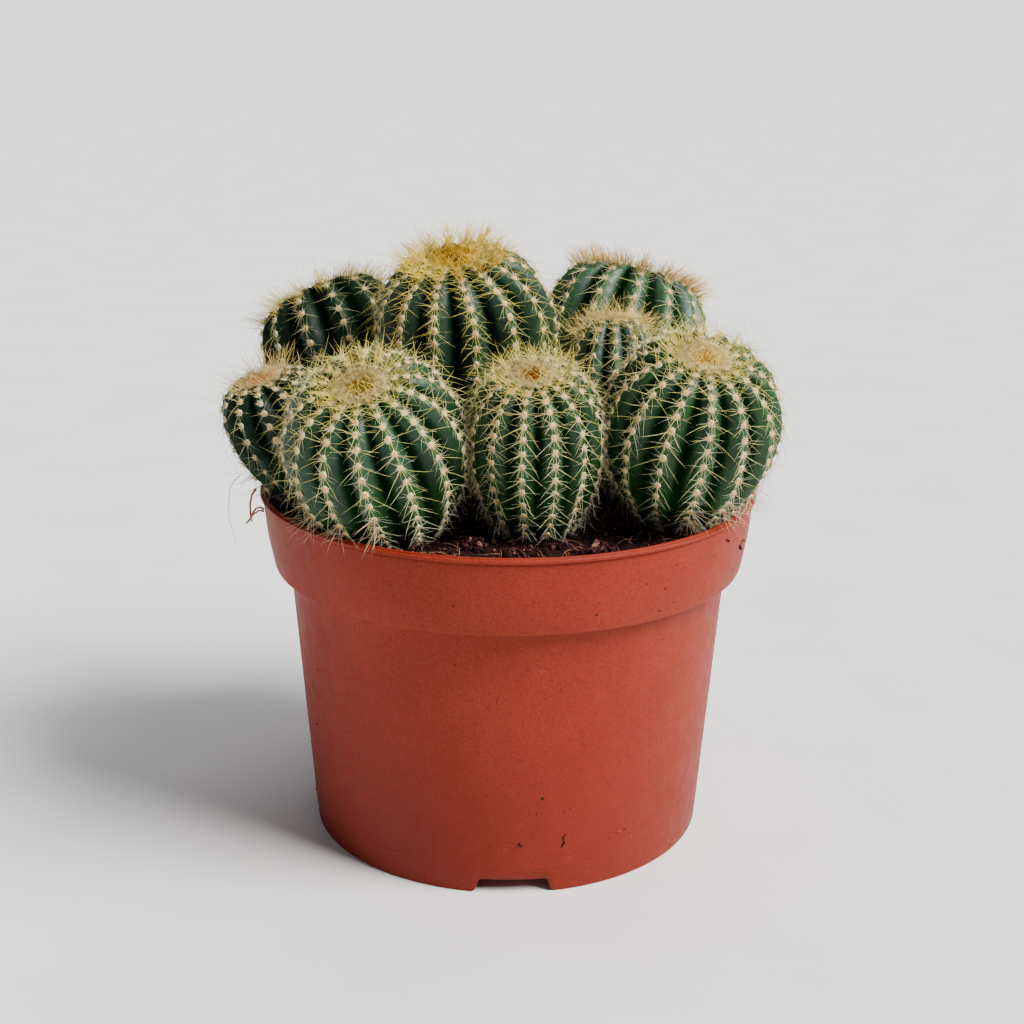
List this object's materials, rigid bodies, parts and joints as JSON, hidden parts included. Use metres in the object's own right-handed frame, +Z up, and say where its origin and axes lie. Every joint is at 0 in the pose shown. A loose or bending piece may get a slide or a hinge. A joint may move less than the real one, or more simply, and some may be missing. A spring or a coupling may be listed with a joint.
{
  "type": "potted eriocactus warasii",
  "caption": "Clump of ribbed, spiny cactus stems with golden woolly crowns, growing in dark peaty soil in a round terracotta-orange plastic nursery pot with a deep stepped collar.",
  "frame": {"origin": "on the surface that the pot stands on, under the middle of the whole plant's box", "axes": "+Z up, -Y towards the picture's viewer, +X to the viewer's right"},
  "size_m": [0.202, 0.1854, 0.2159],
  "materials": {
    "pot": "matte",
    "soil": "matte",
    "stem": "satin"
  },
  "bodies": {
    "root": {"pot": "pot", "soil": "soil", "stem_front_left": "stem", "stem_front_middle": "stem", "stem_front_right": "stem", "stem_far_left": "stem", "stem_back_left": "stem", "stem_tall_middle": "stem", "stem_back_right": "stem", "stem_middle_right": "stem", "stem_back_low": "stem", "stem_side_low": "stem"}
  },
  "joints": []
}
